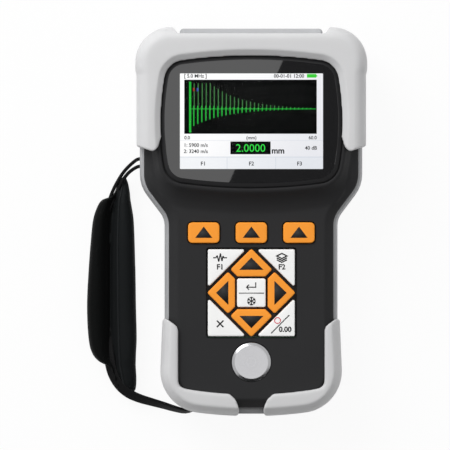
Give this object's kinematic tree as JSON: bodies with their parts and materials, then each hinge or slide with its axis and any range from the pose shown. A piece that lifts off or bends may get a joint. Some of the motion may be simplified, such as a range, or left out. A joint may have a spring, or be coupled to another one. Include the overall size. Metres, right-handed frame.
{
  "type": "ultrasonic thickness gauge",
  "caption": "Hand-held ultrasonic thickness gauge with a colour display head, soft keys and an arrow pad, rubber corner bumpers, a reference disc and a padded hand strap.",
  "frame": {"origin": "middle of the gauge's bounding box at the plane its back rests on, without the strap", "axes": "+X to the right, +Y to the top of the gauge, +Z out of the display"},
  "size_m": [0.1112, 0.1529, 0.037],
  "materials": {
    "charcoal_plastic": "fine moulded texture",
    "grey_plastic": "fine moulded texture",
    "light_rubber": "smooth matt overmould",
    "black_rubber": "matt",
    "lens": "clear hard-coated window",
    "display": "lit colour display",
    "steel": "plain steel",
    "board": "green laminate",
    "black_plastic": "moulded",
    "bright_metal": "bright plated",
    "orange_key": "satin key top",
    "white_key": "satin key top",
    "cell_jacket": "plain jacket",
    "contact_metal": "plated contacts",
    "strap_fabric": "woven strap and sleeve"
  },
  "bodies": {
    "case": {"front_case": "charcoal_plastic", "rear_case": "grey_plastic", "case_seal": "black_rubber", "top_bumper": "light_rubber", "bottom_bumper_right": "light_rubber", "bottom_bumper_left": "light_rubber", "display_lens": "lens", "lens_gasket": "black_rubber", "lcd_panel": "display", "lcd_frame": "steel", "display_carrier": "charcoal_plastic", "keypad_mat": "black_rubber", "main_board": "board", "board_screws": "steel", "beeper": "black_plastic", "reference_disc": "bright_metal", "probe_socket_left": "bright_metal", "probe_socket_right": "bright_metal", "socket_nuts": "bright_metal", "data_port": "steel", "cover_hinge_pin": "steel", "battery_cells": "cell_jacket", "battery_plates": "contact_metal", "battery_springs": "contact_metal", "case_screws": "steel", "strap_cord_upper": "strap_fabric", "strap_cord_lower": "strap_fabric", "strap_webbing": "strap_fabric", "strap_pad": "strap_fabric"},
    "softkey_left": {"softkey_left": "orange_key"},
    "softkey_middle": {"softkey_middle": "orange_key"},
    "softkey_right": {"softkey_right": "orange_key"},
    "key_up": {"key_up": "orange_key"},
    "key_left": {"key_left": "orange_key"},
    "key_down": {"key_down": "orange_key"},
    "key_right": {"key_right": "orange_key"},
    "enter_key": {"enter_key": "white_key"},
    "key_layers": {"key_layers": "white_key"},
    "key_wave": {"key_wave": "white_key"},
    "key_escape": {"key_escape": "white_key"},
    "key_power": {"key_power": "white_key"},
    "connector_cover": {"connector_cover": "grey_plastic"},
    "battery_door": {"battery_door": "grey_plastic", "door_screw": "steel", "door_seal": "black_rubber"}
  },
  "joints": [
    {"name": "softkey_left_press", "type": "slide", "parent": "case", "child": "softkey_left", "axis": [0, 0, -1], "range_m": [0, 0.0008], "stiffness_N_per_m": 600, "deforming": ["keypad_mat"]},
    {"name": "softkey_middle_press", "type": "slide", "parent": "case", "child": "softkey_middle", "axis": [0, 0, -1], "range_m": [0, 0.0008], "stiffness_N_per_m": 600, "deforming": ["keypad_mat"]},
    {"name": "softkey_right_press", "type": "slide", "parent": "case", "child": "softkey_right", "axis": [0, 0, -1], "range_m": [0, 0.0008], "stiffness_N_per_m": 600, "deforming": ["keypad_mat"]},
    {"name": "key_up_press", "type": "slide", "parent": "case", "child": "key_up", "axis": [0, 0, -1], "range_m": [0, 0.0008], "stiffness_N_per_m": 600, "deforming": ["keypad_mat"]},
    {"name": "key_left_press", "type": "slide", "parent": "case", "child": "key_left", "axis": [0, 0, -1], "range_m": [0, 0.0008], "stiffness_N_per_m": 600, "deforming": ["keypad_mat"]},
    {"name": "key_down_press", "type": "slide", "parent": "case", "child": "key_down", "axis": [0, 0, -1], "range_m": [0, 0.0008], "stiffness_N_per_m": 600, "deforming": ["keypad_mat"]},
    {"name": "key_right_press", "type": "slide", "parent": "case", "child": "key_right", "axis": [0, 0, -1], "range_m": [0, 0.0008], "stiffness_N_per_m": 600, "deforming": ["keypad_mat"]},
    {"name": "enter_key_press", "type": "slide", "parent": "case", "child": "enter_key", "axis": [0, 0, -1], "range_m": [0, 0.0008], "stiffness_N_per_m": 600, "deforming": ["keypad_mat"]},
    {"name": "key_layers_press", "type": "slide", "parent": "case", "child": "key_layers", "axis": [0, 0, -1], "range_m": [0, 0.0008], "stiffness_N_per_m": 600, "deforming": ["keypad_mat"]},
    {"name": "key_wave_press", "type": "slide", "parent": "case", "child": "key_wave", "axis": [0, 0, -1], "range_m": [0, 0.0008], "stiffness_N_per_m": 600, "deforming": ["keypad_mat"]},
    {"name": "key_escape_press", "type": "slide", "parent": "case", "child": "key_escape", "axis": [0, 0, -1], "range_m": [0, 0.0008], "stiffness_N_per_m": 600, "deforming": ["keypad_mat"]},
    {"name": "key_power_press", "type": "slide", "parent": "case", "child": "key_power", "axis": [0, 0, -1], "range_m": [0, 0.0008], "stiffness_N_per_m": 600, "deforming": ["keypad_mat"]},
    {"name": "connector_cover_hinge", "type": "hinge", "parent": "case", "child": "connector_cover", "pos_m": [0, 0.075, 0.0046], "axis": [-1, 0, 0], "range_deg": [0, 110]},
    {"name": "battery_door_lift", "type": "slide", "parent": "case", "child": "battery_door", "axis": [0, 0, -1], "range_m": [0, 0.03]}
  ]
}
